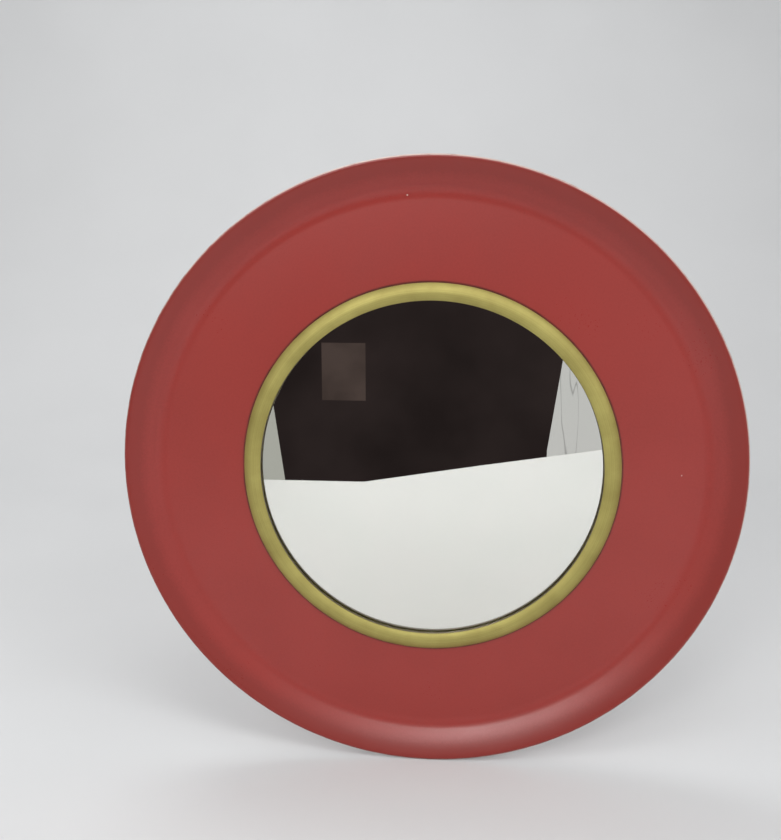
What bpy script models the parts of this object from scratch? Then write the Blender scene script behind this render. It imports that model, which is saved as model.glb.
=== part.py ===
"""Round wall mirror: a turned dished frame, a half-round trim ring, flat glass
and a backing board held by turn buttons, hung from a plate with a D ring.

Metres, +Z up. The front faces -Y. The disc's axis runs along Y, and the origin is
on that axis, halfway between the lip's crest and the faces of the wall pads.
"""

import math

import bmesh
import bpy
from mathutils import Matrix

MM = 0.001

# Overall sizes
outer_radius = 225 * MM
glass_radius = 127 * MM
glass_thickness = 2 * MM
glass_edge_chamfer = 0.2 * MM

# Clearances
touch_gap = 0.3 * MM
glass_clearance = 0.5 * MM
pivot_clearance = 0.3 * MM

# Frame section: flat floor, hollow cove, swept lip, rounded edge, bevelled back
lip_width = 30.4 * MM
cove_radius = 20 * MM
cove_angle = math.radians(32)
lip_end_angle = math.radians(20)
edge_radius = 1.9 * MM
back_bevel_width = 35 * MM
bore_chamfer = 0.6 * MM

# Trim ring section
ring_width = 12.5 * MM
ring_cover = 2 * MM
ring_inner_height = 3 * MM
ring_outer_height = 1.4 * MM
ring_bulge = 2.3 * MM

# Packing behind the glass
card_thickness = 2.5 * MM
board_thickness = 3 * MM
board_edge_chamfer = 0.4 * MM

# Turn buttons
button_count = 6
button_thickness = 1.2 * MM
button_eye_radius = 6 * MM
button_tip_radius = 4.5 * MM
button_reach = 18 * MM
button_inset = 9 * MM

# Screws for the buttons and the hanger
screw_shank_radius = 1.4 * MM
screw_bite = 5.2 * MM
screw_tip_length = 1.6 * MM
screw_head_radius = 3 * MM
screw_head_height = 1.8 * MM
screw_dome_height = 0.99 * MM
screw_dome = ((1, 1), (0.85, 0.35), (0.5, 0.06), (0, 0))  # shares of head radius and dome height
pilot_extra_depth = 0.4 * MM

# Hanger plate and D ring
plate_width = 46 * MM
plate_height = 13 * MM
plate_thickness = 1.2 * MM
plate_edge_inset = 7 * MM
plate_screw_spacing = 32 * MM
eye_width = 12 * MM
d_ring_wire_radius = 1.5 * MM
d_ring_side_play = 1.5 * MM
d_ring_corner_radius = 3 * MM
d_ring_drop = 9 * MM
eye_foot_length = 3 * MM
eye_opening = math.radians(30)

# Wall pads
pad_count = 4
pad_radius = 7 * MM
pad_height = 6 * MM
pad_edge_inset = 11 * MM
pad_edge_round = 0.8 * MM

# Facets
disc_steps = 72
small_steps = 16
cove_steps = 6
sweep_steps = 5
edge_front_steps = 5
edge_back_steps = 4
crown_steps = 10
end_steps = 8
button_eye_steps = 12
eye_steps = 14
wire_corner_steps = 4
wire_bow_steps = 14
wire_round_steps = 2
sharp_angle = math.radians(35)
weld_distance = 0.001 * MM
turning_weld_distance = 0.01 * MM

# Heights above the frame's floor, positive towards the front
glass_back = -glass_thickness
card_front = glass_back - touch_gap
card_back = card_front - card_thickness
board_front = card_back - touch_gap
board_back = board_front - board_thickness
frame_back = board_back - touch_gap
button_front = frame_back - touch_gap
button_back = button_front - button_thickness
plate_front = frame_back - touch_gap
plate_back = plate_front - plate_thickness
pad_front = frame_back - touch_gap
pad_back = pad_front - pad_height

# Fits worked out from the sizes above
bore_radius = glass_radius + glass_clearance
cove_start_radius = outer_radius - lip_width
back_flat_radius = outer_radius - back_bevel_width
ring_inner_radius = glass_radius - ring_cover
ring_outer_radius = ring_inner_radius + ring_width
button_circle_radius = bore_radius + button_inset
pilot_radius = screw_shank_radius + pivot_clearance
plate_top_radius = back_flat_radius - plate_edge_inset
pad_circle_radius = back_flat_radius - pad_edge_inset - pad_radius
eye_inner_radius = d_ring_wire_radius + pivot_clearance
eye_outer_radius = eye_inner_radius + plate_thickness
hinge_height = plate_front - eye_outer_radius
hinge_radius = plate_top_radius + eye_inner_radius
d_ring_half_width = eye_width / 2 + d_ring_side_play + d_ring_wire_radius

COLORS = {
    "red_lacquer": ((0.25, 0.022, 0.017), 0.34, 0.0),
    "gold_lacquer": ((0.36, 0.27, 0.075), 0.38, 0.9),
    "mirror_glass": ((0.86, 0.88, 0.87), 0.02, 1.0),
    "grey_card": ((0.30, 0.27, 0.23), 0.90, 0.0),
    "hardboard": ((0.16, 0.085, 0.045), 0.70, 0.0),
    "zinc_steel": ((0.56, 0.57, 0.58), 0.30, 1.0),
    "black_rubber": ((0.020, 0.020, 0.021), 0.75, 0.0),
}


def clear_scene():
    for obj in list(bpy.data.objects):
        bpy.data.objects.remove(obj, do_unlink=True)


def new_collection(name):
    collection = bpy.data.collections.new(name)
    bpy.context.scene.collection.children.link(collection)
    return collection


def make_material(name):
    color, roughness, metallic = COLORS[name]
    material = bpy.data.materials.new(name)
    material.use_nodes = True
    shader = material.node_tree.nodes["Principled BSDF"]
    shader.inputs["Base Color"].default_value = (*color, 1)
    shader.inputs["Roughness"].default_value = roughness
    shader.inputs["Metallic"].default_value = metallic
    return material


def dress(obj, material):
    obj.data.materials.clear()
    obj.data.materials.append(material)
    obj.data.shade_smooth()
    obj.data.set_sharp_from_angle(angle=sharp_angle)


def face_front(obj):
    """Turns a piece built upwards along its own Z so that its Z faces the front."""
    obj.rotation_euler.x = math.pi / 2


def front(height):
    """World Y of a height above the frame's floor."""
    return axis_middle - height


def arc(centre_r, centre_h, radius, start, end, steps):
    """Points on an arc in the (radius, height) plane, with both ends."""
    return [
        (
            centre_r + radius * math.cos(start + (end - start) * i / steps),
            centre_h + radius * math.sin(start + (end - start) * i / steps),
        )
        for i in range(steps + 1)
    ]


def turned(name, profile, material, collection, steps, closed):
    """A turned solid: the profile's (radius, height) points go round the Z axis."""
    mesh = bpy.data.meshes.new(name)
    bm = bmesh.new()
    verts = [bm.verts.new((r, 0, h)) for r, h in profile]
    for first, second in zip(verts, verts[1:]):
        bm.edges.new((first, second))
    if closed:
        bm.edges.new((verts[-1], verts[0]))
    bm.to_mesh(mesh)
    bm.free()
    obj = bpy.data.objects.new(name, mesh)
    collection.objects.link(obj)
    screw = obj.modifiers.new("Turn", "SCREW")
    screw.axis = "Z"
    screw.steps = steps
    screw.render_steps = steps
    screw.use_merge_vertices = True
    screw.merge_threshold = turning_weld_distance
    screw.use_smooth_shade = True
    apply_modifiers(obj)
    dress(obj, material)
    face_front(obj)
    return obj


def apply_modifiers(obj):
    graph = bpy.context.evaluated_depsgraph_get()
    mesh = bpy.data.meshes.new_from_object(obj.evaluated_get(graph))
    old = obj.data
    obj.modifiers.clear()
    obj.data = mesh
    bpy.data.meshes.remove(old)
    mesh.name = obj.name


def mesh_from_curve(curve, name, material, collection):
    """Makes a closed mesh from a curve, with the loose edges of its caps welded."""
    source = bpy.data.objects.new(name, curve)
    collection.objects.link(source)
    graph = bpy.context.evaluated_depsgraph_get()
    mesh = bpy.data.meshes.new_from_object(source.evaluated_get(graph))
    bpy.data.objects.remove(source)
    bm = bmesh.new()
    bm.from_mesh(mesh)
    bmesh.ops.remove_doubles(bm, verts=bm.verts, dist=weld_distance)
    bm.to_mesh(mesh)
    bm.free()
    obj = bpy.data.objects.new(name, mesh)
    collection.objects.link(obj)
    dress(obj, material)
    return obj


def add_outline(curve, points):
    spline = curve.splines.new("POLY")
    spline.points.add(len(points) - 1)
    for point, (x, y) in zip(spline.points, points):
        point.co = (x, y, 0, 1)
    spline.use_cyclic_u = True


def flat_plate(name, outlines, thickness, material, collection):
    """A flat plate from outlines in its XY plane: the first is its edge, others are holes."""
    curve = bpy.data.curves.new(name, "CURVE")
    curve.dimensions = "2D"
    curve.fill_mode = "BOTH"
    curve.extrude = thickness / 2
    for outline in outlines:
        add_outline(curve, outline)
    return mesh_from_curve(curve, name, material, collection)


def cut(obj, cutter):
    boolean = obj.modifiers.new(cutter.name, "BOOLEAN")
    boolean.operation = "DIFFERENCE"
    boolean.solver = "EXACT"
    boolean.object = cutter


def lip_section():
    """Front of the lip from the cove's start out to where the rounded edge begins."""
    end_radius = outer_radius - edge_radius * (1 + math.sin(lip_end_angle))
    cove_run = cove_radius * math.sin(cove_angle)
    sweep_run = end_radius - cove_start_radius - cove_run
    sweep_radius = sweep_run / (math.sin(cove_angle) - math.sin(lip_end_angle))
    cove = arc(
        cove_start_radius,
        cove_radius,
        cove_radius,
        -math.pi / 2,
        cove_angle - math.pi / 2,
        cove_steps,
    )
    join_r, join_h = cove[-1]
    sweep = arc(
        join_r + sweep_radius * math.sin(cove_angle),
        join_h - sweep_radius * math.cos(cove_angle),
        sweep_radius,
        math.pi / 2 + cove_angle,
        math.pi / 2 + lip_end_angle,
        sweep_steps,
    )
    return cove + sweep[1:]


def edge_section(lip):
    """Rounded edge from the lip's last point round to the bevelled back."""
    last_r, last_h = lip[-1]
    centre_r = last_r + edge_radius * math.sin(lip_end_angle)
    centre_h = last_h - edge_radius * math.cos(lip_end_angle)
    run = centre_r - back_flat_radius
    rise = centre_h - frame_back
    bevel = math.atan2(rise, run) - math.asin(edge_radius / math.hypot(run, rise))
    first = math.pi / 2 + lip_end_angle
    last = bevel - math.pi / 2
    outside = arc(centre_r, centre_h, edge_radius, first, 0, edge_front_steps)
    behind = arc(centre_r, centre_h, edge_radius, 0, last, edge_back_steps)
    return outside[1:] + behind[1:]


def build_frame(material, collection, cutters):
    lip = lip_section()
    edge = edge_section(lip)
    back = [
        (back_flat_radius, frame_back),
        (bore_radius + bore_chamfer, frame_back),
        (bore_radius, frame_back + bore_chamfer),
    ]
    floor = [(bore_radius, -bore_chamfer), (bore_radius + bore_chamfer, 0)]
    frame = turned("frame", lip + edge + back + floor, material, collection, disc_steps, True)
    frame.location.y = front(0)
    for cutter in cutters:
        cut(frame, cutter)
    return frame


def build_pilot_cutter(index, x, z, collection):
    bpy.ops.mesh.primitive_cylinder_add(
        vertices=small_steps,
        radius=pilot_radius,
        depth=2 * (screw_bite + pilot_extra_depth),
        location=(x, front(frame_back), z),
        rotation=(math.pi / 2, 0, 0),
    )
    cutter = bpy.context.object
    cutter.name = f"pilot_cutter_{index}"
    for holder in list(cutter.users_collection):
        holder.objects.unlink(cutter)
    collection.objects.link(cutter)
    cutter.display_type = "WIRE"
    cutter.hide_render = True
    return cutter


def build_trim_ring(material, collection):
    """Half-round moulding: one arc over its width, flat underneath."""
    chord_r = ring_width
    chord_h = ring_outer_height - ring_inner_height
    half = math.hypot(chord_r, chord_h) / 2
    bow = (half * half + ring_bulge * ring_bulge) / (2 * ring_bulge)
    middle_r = (ring_inner_radius + ring_outer_radius) / 2
    middle_h = (ring_inner_height + ring_outer_height) / 2
    tilt = math.atan2(chord_h, chord_r)
    drop = bow - ring_bulge
    centre_r = middle_r + drop * math.sin(tilt)
    centre_h = middle_h - drop * math.cos(tilt)
    spread = math.asin(half / bow)
    upright = math.pi / 2 + tilt
    crown = arc(centre_r, centre_h, bow, upright + spread, upright - spread, crown_steps)
    under = [(ring_outer_radius, touch_gap), (ring_inner_radius, touch_gap)]
    ring = turned("trim_ring", crown + under, material, collection, disc_steps, True)
    ring.location.y = front(0)
    return ring


def build_disc(name, radius, top, bottom, chamfer, material, collection):
    profile = [
        (0, top),
        (radius - chamfer, top),
        (radius, top - chamfer),
        (radius, bottom + chamfer),
        (radius - chamfer, bottom),
        (0, bottom),
    ]
    disc = turned(name, profile, material, collection, disc_steps, False)
    disc.location.y = front(0)
    return disc


def circle_outline(x, y, radius):
    return arc(x, y, radius, 0, 2 * math.pi, small_steps)[:-1]


def button_outline():
    """Round eye at the pivot and a smaller round tip, joined by straight sides."""
    lean = math.asin((button_eye_radius - button_tip_radius) / button_reach)
    side = math.pi / 2 - lean
    tip = arc(button_reach, 0, button_tip_radius, -side, side, end_steps)
    eye = arc(0, 0, button_eye_radius, side, 2 * math.pi - side, button_eye_steps)
    return tip + eye


def build_turn_button(index, angle, material, collection):
    x = button_circle_radius * math.cos(angle)
    z = button_circle_radius * math.sin(angle)
    outlines = [button_outline(), circle_outline(0, 0, pilot_radius)]
    button = flat_plate(f"turn_button_{index}", outlines, button_thickness, material, collection)
    middle = (button_front + button_back) / 2
    inward = angle + math.pi
    turn = Matrix.Rotation(math.pi / 2, 4, "X") @ Matrix.Rotation(inward, 4, "Z")
    button.matrix_world = Matrix.Translation((x, front(middle), z)) @ turn
    return button


def build_screw(name, x, z, seat, material, collection):
    """Pan-head screw whose head sits over a plate that ends at the seat height."""
    under_head = seat - touch_gap
    head_top = under_head - screw_head_height
    shank_end = frame_back + screw_bite - screw_tip_length
    point = frame_back + screw_bite
    dome = [
        (screw_head_radius * across, head_top + screw_dome_height * down)
        for across, down in screw_dome
    ]
    profile = [
        (0, point),
        (screw_shank_radius, shank_end),
        (screw_shank_radius, under_head),
        (screw_head_radius, under_head),
        *dome,
    ]
    screw = turned(name, profile, material, collection, small_steps, False)
    screw.location = (x, front(0), z)
    return screw


def build_hanger_plate(material, collection, cutters):
    """Wide plate with two screw holes and a rolled eye on its top edge."""
    end_radius = plate_height / 2
    half = plate_width / 2 - end_radius
    right = arc(half, 0, end_radius, -math.pi / 2, math.pi / 2, end_steps)
    left = arc(-half, 0, end_radius, math.pi / 2, 3 * math.pi / 2, end_steps)
    holes = [
        circle_outline(side * plate_screw_spacing / 2, 0, pilot_radius) for side in (-1, 1)
    ]
    outlines = [right + left, *holes]
    plate = flat_plate("hanger_plate", outlines, plate_thickness, material, collection)
    plate.location = (0, front((plate_front + plate_back) / 2), plate_top_radius - plate_height / 2)
    plate.rotation_euler.x = math.pi / 2
    eye = build_eye(material, cutters)
    union = plate.modifiers.new("Eye", "BOOLEAN")
    union.operation = "UNION"
    union.solver = "EXACT"
    union.object = eye
    return plate


def build_eye(material, cutters):
    """Rolled strip: it leaves the plate upwards, goes back round the wire and stops short."""
    end = eye_opening - math.pi / 2
    outer = arc(0, 0, eye_outer_radius, math.pi, end, eye_steps)
    inner = arc(0, 0, eye_inner_radius, end, math.pi, eye_steps)
    foot = [(-eye_inner_radius, -eye_foot_length), (-eye_outer_radius, -eye_foot_length)]
    eye = flat_plate("eye_roll", [outer + inner + foot], eye_width, material, cutters)
    eye.matrix_world = Matrix.Translation((0, front(hinge_height), hinge_radius)) @ Matrix(
        ((0, 0, 1, 0), (1, 0, 0, 0), (0, 1, 0, 0), (0, 0, 0, 1))
    )
    eye.display_type = "WIRE"
    eye.hide_render = True
    return eye


def d_ring_route():
    """Closed centre line: a straight bar through the eye and a round bow below it."""
    half = d_ring_half_width
    corner = d_ring_corner_radius
    top_right = arc(half - corner, -corner, corner, math.pi / 2, 0, wire_corner_steps)
    bow = arc(0, -d_ring_drop, half, 0, -math.pi, wire_bow_steps)
    top_left = arc(-half + corner, -corner, corner, math.pi, math.pi / 2, wire_corner_steps)
    return top_right + bow + top_left


def build_d_ring(material, collection):
    curve = bpy.data.curves.new("hanger_ring", "CURVE")
    curve.dimensions = "3D"
    curve.bevel_depth = d_ring_wire_radius
    curve.bevel_resolution = wire_round_steps
    add_outline(curve, d_ring_route())
    ring = mesh_from_curve(curve, "hanger_ring", material, collection)
    ring.location = (0, front(hinge_height), hinge_radius)
    ring.rotation_euler.x = math.pi / 2
    return ring


def build_wall_pad(index, angle, material, collection):
    profile = [
        (0, pad_front),
        (pad_radius, pad_front),
        (pad_radius, pad_back + pad_edge_round),
        (pad_radius - pad_edge_round, pad_back),
        (0, pad_back),
    ]
    pad = turned(f"wall_pad_{index}", profile, material, collection, small_steps, False)
    x = pad_circle_radius * math.cos(angle)
    z = pad_circle_radius * math.sin(angle)
    pad.location = (x, front(0), z)
    return pad


def crest_height():
    """Highest point of the frame in front of its floor."""
    return max(height for _, height in edge_section(lip_section()))


def build():
    clear_scene()
    parts = new_collection("wall_mirror")
    cutters = new_collection("cutters")
    cutters.hide_render = True
    paint = {name: make_material(name) for name in COLORS}

    button_angles = [2 * math.pi * i / button_count for i in range(button_count)]
    button_places = [
        (button_circle_radius * math.cos(angle), button_circle_radius * math.sin(angle))
        for angle in button_angles
    ]
    plate_middle = plate_top_radius - plate_height / 2
    plate_places = [(side * plate_screw_spacing / 2, plate_middle) for side in (-1, 1)]
    pilots = [
        build_pilot_cutter(i, x, z, cutters)
        for i, (x, z) in enumerate(button_places + plate_places, start=1)
    ]

    build_frame(paint["red_lacquer"], parts, pilots)
    build_trim_ring(paint["gold_lacquer"], parts)
    build_disc(
        "mirror_glass", glass_radius, 0, glass_back, glass_edge_chamfer, paint["mirror_glass"], parts
    )
    build_disc("card_packing", glass_radius, card_front, card_back, 0, paint["grey_card"], parts)
    build_disc(
        "backing_board", glass_radius, board_front, board_back, board_edge_chamfer, paint["hardboard"], parts
    )
    for i, (angle, (x, z)) in enumerate(zip(button_angles, button_places), start=1):
        build_turn_button(i, angle, paint["zinc_steel"], parts)
        build_screw(f"button_screw_{i}", x, z, button_back, paint["zinc_steel"], parts)
    build_hanger_plate(paint["zinc_steel"], parts, cutters)
    build_d_ring(paint["zinc_steel"], parts)
    for i, (x, z) in enumerate(plate_places, start=1):
        build_screw(f"hanger_screw_{i}", x, z, plate_back, paint["zinc_steel"], parts)
    for i in range(pad_count):
        angle = 2 * math.pi * (i + 0.5) / pad_count
        build_wall_pad(i + 1, angle, paint["black_rubber"], parts)


axis_middle = (crest_height() + pad_back) / 2

build()
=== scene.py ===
"""Finished pieces of a round wall mirror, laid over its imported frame.

A turned fibreboard dish, lacquered red, holds flat silvered glass under a gold-lacquered
ring. Its back has a board under turn buttons, a hanger plate with a D ring, and pads.
Metres, +Z up. The front faces -Y and the dish's axis is the Y axis.
"""

import math

import bmesh
import bpy
from bpy.props import FloatProperty, FloatVectorProperty, IntProperty, PointerProperty
from bpy.types import Operator, Panel, PropertyGroup
from mathutils import Matrix, Vector


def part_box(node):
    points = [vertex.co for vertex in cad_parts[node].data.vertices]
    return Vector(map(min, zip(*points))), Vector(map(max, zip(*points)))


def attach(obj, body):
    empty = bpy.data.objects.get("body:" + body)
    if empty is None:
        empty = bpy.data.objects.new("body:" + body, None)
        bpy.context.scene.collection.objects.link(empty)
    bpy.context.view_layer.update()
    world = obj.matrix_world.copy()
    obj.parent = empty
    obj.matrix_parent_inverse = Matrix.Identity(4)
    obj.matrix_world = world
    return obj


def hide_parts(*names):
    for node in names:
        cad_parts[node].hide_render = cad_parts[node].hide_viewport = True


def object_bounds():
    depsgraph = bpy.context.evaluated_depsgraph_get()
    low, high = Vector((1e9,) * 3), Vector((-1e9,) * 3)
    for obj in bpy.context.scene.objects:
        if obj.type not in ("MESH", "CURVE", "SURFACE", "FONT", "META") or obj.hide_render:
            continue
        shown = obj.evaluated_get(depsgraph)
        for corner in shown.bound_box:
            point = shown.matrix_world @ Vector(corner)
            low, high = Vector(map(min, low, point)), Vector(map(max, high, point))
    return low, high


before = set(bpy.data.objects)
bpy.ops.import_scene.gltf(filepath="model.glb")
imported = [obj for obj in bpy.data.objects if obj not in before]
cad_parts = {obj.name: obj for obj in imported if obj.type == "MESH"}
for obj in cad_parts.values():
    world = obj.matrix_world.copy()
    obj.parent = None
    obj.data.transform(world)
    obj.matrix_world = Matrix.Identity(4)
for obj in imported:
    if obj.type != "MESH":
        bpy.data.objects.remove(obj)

bl_info = {
    "name": "Round Wall Mirror",
    "version": (1, 0, 0),
    "blender": (4, 5, 0),
    "location": "3D View > Sidebar > Wall Mirror",
    "description": "Builds the finished pieces of a round wall mirror over its packed frame",
    "category": "Add Mesh",
}

MM = 0.001
QUARTER = math.pi / 2
CAD_LOW, CAD_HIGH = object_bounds()

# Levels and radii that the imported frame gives
ROOT = "mirror"
OUTER_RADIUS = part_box("frame")[1].x
BACK_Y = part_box("frame")[1].y
FLOOR_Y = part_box("mirror_glass")[0].y
GLASS_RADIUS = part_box("mirror_glass")[1].x
GLASS_BACK_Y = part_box("mirror_glass")[1].y
RING_OUTER_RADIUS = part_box("trim_ring")[1].x
RING_FOOT_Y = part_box("trim_ring")[1].y
BUTTONS = [f"turn_button_{i}" for i in range(1, 7)]
BUTTON_SCREWS = [f"button_screw_{i}" for i in range(1, 7)]
HANGER_SCREWS = ["hanger_screw_1", "hanger_screw_2"]
WALL_PADS = [f"wall_pad_{i}" for i in range(1, 5)]

# Where the lacquer is chipped: x and z, in metres
CHIPS = ((-0.0175, 0.1975), (0.180, 0.0011))

# A piece built upwards along its own Z lies behind the dish with its Z facing the wall
FACE_WALL = -QUARTER

WELD = 0.001 * MM  # points this close together become one
SHARP_ANGLE = math.radians(35)  # an edge that turns more than this stays crisp
HOLD = 0.8 * MM  # a flat face keeps its shading up to this far from where a curve starts
BACK_SLOPE = 0.8  # a face of the dish turned this far to the wall has the back coat
SILVER_SLOPE = 0.9  # a face of the glass turned this far to the wall is silvered


def linear(hex_colour):
    """Linear red, green and blue of an sRGB colour such as #A1473E."""
    levels = [int(hex_colour[i : i + 2], 16) / 255 for i in (1, 3, 5)]
    return tuple(v / 12.92 if v <= 0.04045 else ((v + 0.055) / 1.055) ** 2.4 for v in levels)


def length(name, description, millimetres):
    return FloatProperty(
        name=name,
        description=description,
        default=millimetres * MM,
        min=0.0,
        precision=5,
        subtype="DISTANCE",
        unit="LENGTH",
    )


def angle(name, description, degrees):
    return FloatProperty(
        name=name,
        description=description,
        default=math.radians(degrees),
        subtype="ANGLE",
        unit="ROTATION",
    )


def power(name, description, watts):
    return FloatProperty(name=name, description=description, default=watts, subtype="POWER")


def colour(name, description, hex_colour):
    return FloatVectorProperty(
        name=name,
        description=description,
        default=linear(hex_colour),
        min=0.0,
        max=1.0,
        size=3,
        subtype="COLOR",
    )


class WallMirrorSizes(PropertyGroup):
    """Sizes of the mirror's sections and fittings."""

    lip_width: length("Lip width", "From the dish's flat floor out to its edge", 30.4)
    cove_radius: length("Cove radius", "Hollow where the floor turns up into the lip", 20)
    cove_angle: angle("Cove angle", "Slope of the lip where the hollow ends", 32)
    lip_end_angle: angle("Lip end angle", "Slope of the lip where the edge rounds over", 20)
    edge_radius: length("Edge radius", "Rounding of the dish's outer edge", 1.9)
    back_bevel: length("Back bevel", "Width of the slope behind the lip", 35)
    glass_clearance: length("Glass clearance", "Gap round the glass in its recess", 0.5)
    corner_softening: length("Corner softening", "Rounding that sanding gives the bore", 0.6)
    ring_cover: length("Ring cover", "How far the ring laps over the glass", 2)
    ring_inner_height: length("Ring inner height", "Ring's height at the glass", 3)
    ring_outer_height: length("Ring outer height", "Ring's height at its outer foot", 1.4)
    ring_bulge: length("Ring bulge", "How far the ring's crown bows out", 2.3)
    glass_arris: length("Glass arris", "Ground corner of the glass", 0.2)
    board_arris: length("Board arris", "Sanded corner of the backing board", 0.4)
    button_eye: length("Button eye radius", "Round end at the button's screw", 6)
    button_tip: length("Button tip radius", "Round end that holds the board", 4.5)
    button_reach: length("Button reach", "From the screw to the middle of the tip", 18)
    pilot_radius: length("Hole radius", "Screw holes in plates and dish", 1.7)
    plate_arris: length("Plate arris", "Rounding that tumbling gives stamped plates", 0.22)
    screw_shank: length("Screw shank radius", "Shank of the wood screws", 1.4)
    screw_head: length("Screw head radius", "Pan head of the wood screws", 3)
    screw_head_height: length("Screw head height", "From the seat to the crown", 1.8)
    screw_tip: length("Screw tip", "Length of the screw's point", 1.6)
    recess_span: length("Recess span", "Cross recess from end to end", 3.5)
    recess_width: length("Recess width", "Width of one slot of the recess", 0.85)
    recess_depth: length("Recess depth", "Depth of the cross recess", 1.1)
    wire_radius: length("Wire radius", "Wire of the D ring", 1.5)
    wire_corner: length("Wire corner radius", "Bends beside the ring's straight bar", 3)
    ring_drop: length("Ring drop", "From the bar down to the middle of the bow", 9)
    pivot_clearance: length("Pivot clearance", "Play of the wire in its eye", 0.3)
    strip_thickness: length("Strip thickness", "Steel of the plate and its eye", 1.2)
    eye_width: length("Eye width", "Width of the rolled eye", 12)
    pad_edge: length("Pad edge", "Rounding of the pads' outer edge", 0.8)
    dish_steps: IntProperty(
        name="Dish steps", description="Facets round the dish and its ring", default=320, min=48
    )
    small_steps: IntProperty(
        name="Small steps", description="Facets round screws and pads", default=40, min=16
    )


class WallMirrorFinishes(PropertyGroup):
    """Colours of the mirror's finishes."""

    lacquer: colour("Lacquer", "Satin red of the dish", "#902F29")
    # Real red of the thin back coat, and painted shade that darkens the outer lip of the front
    deep_red_and_lip_shade: colour("Deep red and lip shade", "Where the red lies thicker", "#80261F")
    # Pale ground in the real chips, and a painted highlight along the top and right of the rim
    primer_and_rim_light: colour("Primer and rim light", "Pale ground that chips show", "#D9C9C0")
    # Painted shade: the dark brown line in the corner at the ring's foot
    ring_foot_shade: colour("Ring foot shade", "Brown line in the corner at the ring's foot", "#4E1A0E")
    fibreboard: colour("Fibreboard", "Raw board under the thin back coat", "#8A6A4C")
    gold: colour("Gold", "Bronze powder in the ring's lacquer", "#AEA45F")
    gold_shade: colour("Gold shade", "Where the powder lies thinner", "#8D8245")
    # Dark bronze of the ring's inner wall, and of the browned rim of the silvering
    bronze: colour("Bronze", "Undercoat on the ring's walls", "#5E5236")
    silver: colour("Silver", "Silvering behind the glass", "#F1EDE9")
    glass: colour("Glass", "Float glass", "#F6FBF8")
    card: colour("Card", "Grey packing card", "#938B80")
    hardboard: colour("Hardboard", "Pressed wood fibre of the backing board", "#6E4F3A")
    zinc: colour("Zinc", "Bright zinc plating", "#C5C8CA")
    rubber: colour("Rubber", "Moulded black rubber", "#1E1E1F")


class WallMirrorStage(PropertyGroup):
    """Camera, lamps and paper round the mirror."""

    lens: FloatProperty(
        name="Lens", description="Focal length on a 36 mm sensor, in millimetres", default=44.24
    )
    key_power: power("Key lamp", "Small soft lamp in front that draws the lip's highlight", 4.2)
    fill_power: power("Fill lamp", "Soft lamp in front, left of the key lamp", 3.8)
    high_power: power("High lamp", "Soft lamp high in front", 3.2)
    right_power: power("Right lamp", "Soft lamp high on the right", 4.0)
    side_power: power("Side lamp", "Soft lamp low on the right", 2.9)
    left_power: power("Left lamp", "Soft lamp high on the left", 1.8)
    low_power: power("Low lamp", "Soft lamp low on the left", 1.5)
    front_power: power("Front lamp", "Weak lamp far behind the camera", 1.6)
    top_power: power("Top lamp", "Wide lamp overhead", 1.8)
    wall_power: power("Wall lamp", "Lamp behind the mirror that lights the pale sheet", 10.0)
    low_sky: FloatProperty(
        name="Low surroundings", description="Strength of the light from level", default=0.2
    )
    high_sky: FloatProperty(
        name="High surroundings", description="Strength of the light from overhead", default=0.57
    )
    paper: colour("Paper", "Pale sheet that the mirror stands on", "#D5D6D7")
    room: colour("Room", "Unlit room that the glass shows", "#302828")
    left_cloth: colour("Left cloth", "Pale sheet left of the dark opening", "#B4B5B0")
    right_cloth: colour("Right cloth", "Pale sheet right of the dark opening", "#CECECF")


# Node trees ------------------------------------------------------------------------------


def add_node(tree, kind, settings=None, output=None):
    """Adds a node and gives back its output of this name, or else the first one in use.

    Settings name its properties and its inputs; an output given to an input is linked.
    """
    node = tree.nodes.new(kind)
    for key, value in (settings or {}).items():
        if isinstance(key, str) and hasattr(node, key):
            setattr(node, key, value)
            continue
        socket = node.inputs[key] if isinstance(key, int) else in_use(node.inputs, key)
        if isinstance(value, bpy.types.NodeSocket):
            tree.links.new(value, socket)
        elif socket.type == "RGBA":
            socket.default_value = (*value, 1)
        else:
            socket.default_value = value
    return in_use(node.outputs, output)


def in_use(sockets, name):
    """The first socket that the node's settings leave in use, of this name if there is one."""
    return next(s for s in sockets if s.enabled and name in (None, s.name))


def new_geometry_tree(name, inputs):
    """An empty tree with a geometry input, these named inputs and a geometry output."""
    tree = bpy.data.node_groups.new(name, "GeometryNodeTree")
    tree.interface.new_socket(name="Geometry", in_out="INPUT", socket_type="NodeSocketGeometry")
    for label, kind in inputs.items():
        tree.interface.new_socket(name=label, in_out="INPUT", socket_type=f"NodeSocket{kind}")
    tree.interface.new_socket(name="Geometry", in_out="OUTPUT", socket_type="NodeSocketGeometry")
    start = tree.nodes.new("NodeGroupInput").outputs
    return tree, start


def finish_tree(tree, geometry, material):
    """Makes the geometry real, paints it and hands it out of the tree."""
    real = add_node(tree, "GeometryNodeRealizeInstances", {"Geometry": geometry})
    painted = add_node(tree, "GeometryNodeSetMaterial", {"Geometry": real, "Material": material})
    tree.links.new(painted, tree.nodes.new("NodeGroupOutput").inputs["Geometry"])
    return tree


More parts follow.
